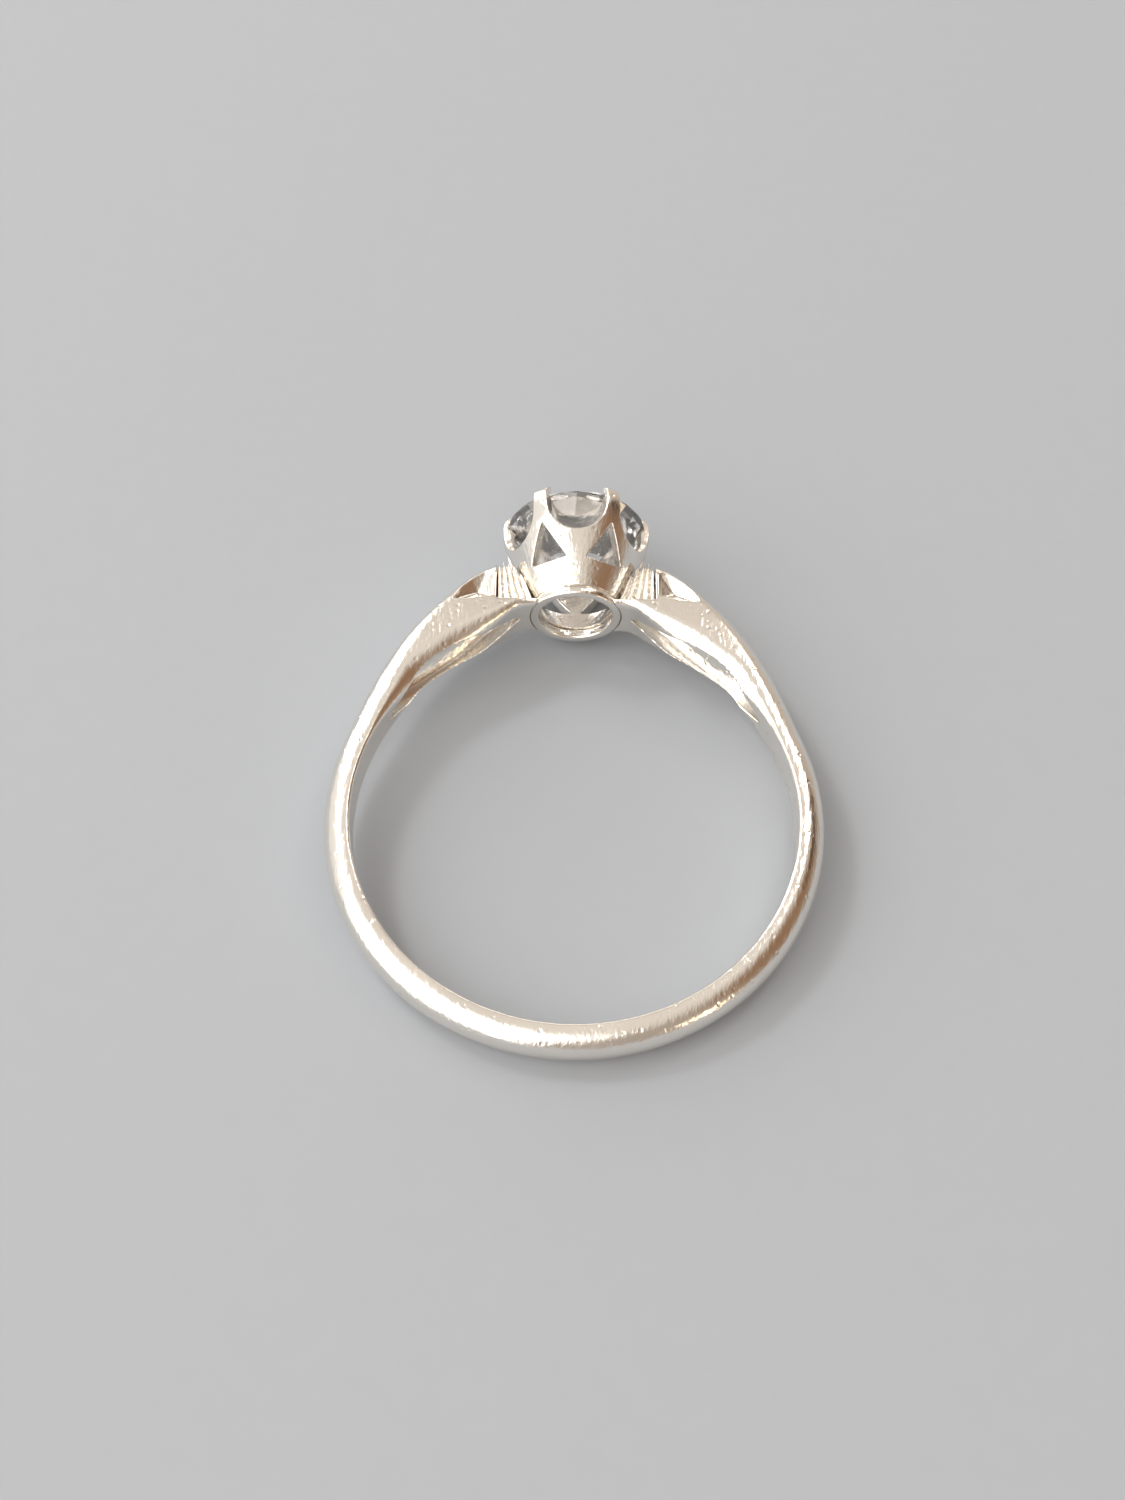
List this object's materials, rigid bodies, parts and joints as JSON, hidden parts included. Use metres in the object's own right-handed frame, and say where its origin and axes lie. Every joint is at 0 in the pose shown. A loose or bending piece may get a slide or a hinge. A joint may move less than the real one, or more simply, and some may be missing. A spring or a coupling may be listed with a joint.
{
  "type": "engagement ring",
  "caption": "Slim solitaire ring: half-round shank, hollowed shoulders rising to a pierced prong head holding a round brilliant.",
  "frame": {"origin": "centre of the finger hole, half-way through the band's width", "axes": "+Z along the finger's axis, +Y from the finger hole's centre out to the head and stone, +X to the right shoulder when seen from +Z with the head at the top"},
  "size_m": [0.0198, 0.0248, 0.006],
  "materials": {
    "shank_metal": "polished rhodium-plated white metal with fine wear scratches",
    "bolster_metal": "polished white metal, fluted",
    "head_metal": "mirror-polished rhodium-plated white metal",
    "stone": "clear faceted stone, polished facets"
  },
  "bodies": {
    "root": {"shank": "shank_metal", "shoulder_left": "shank_metal", "shoulder_right": "shank_metal", "bolster_left": "bolster_metal", "bolster_right": "bolster_metal", "head_base_ring": "head_metal", "head_crown": "head_metal", "centre_stone": "stone"}
  },
  "joints": []
}
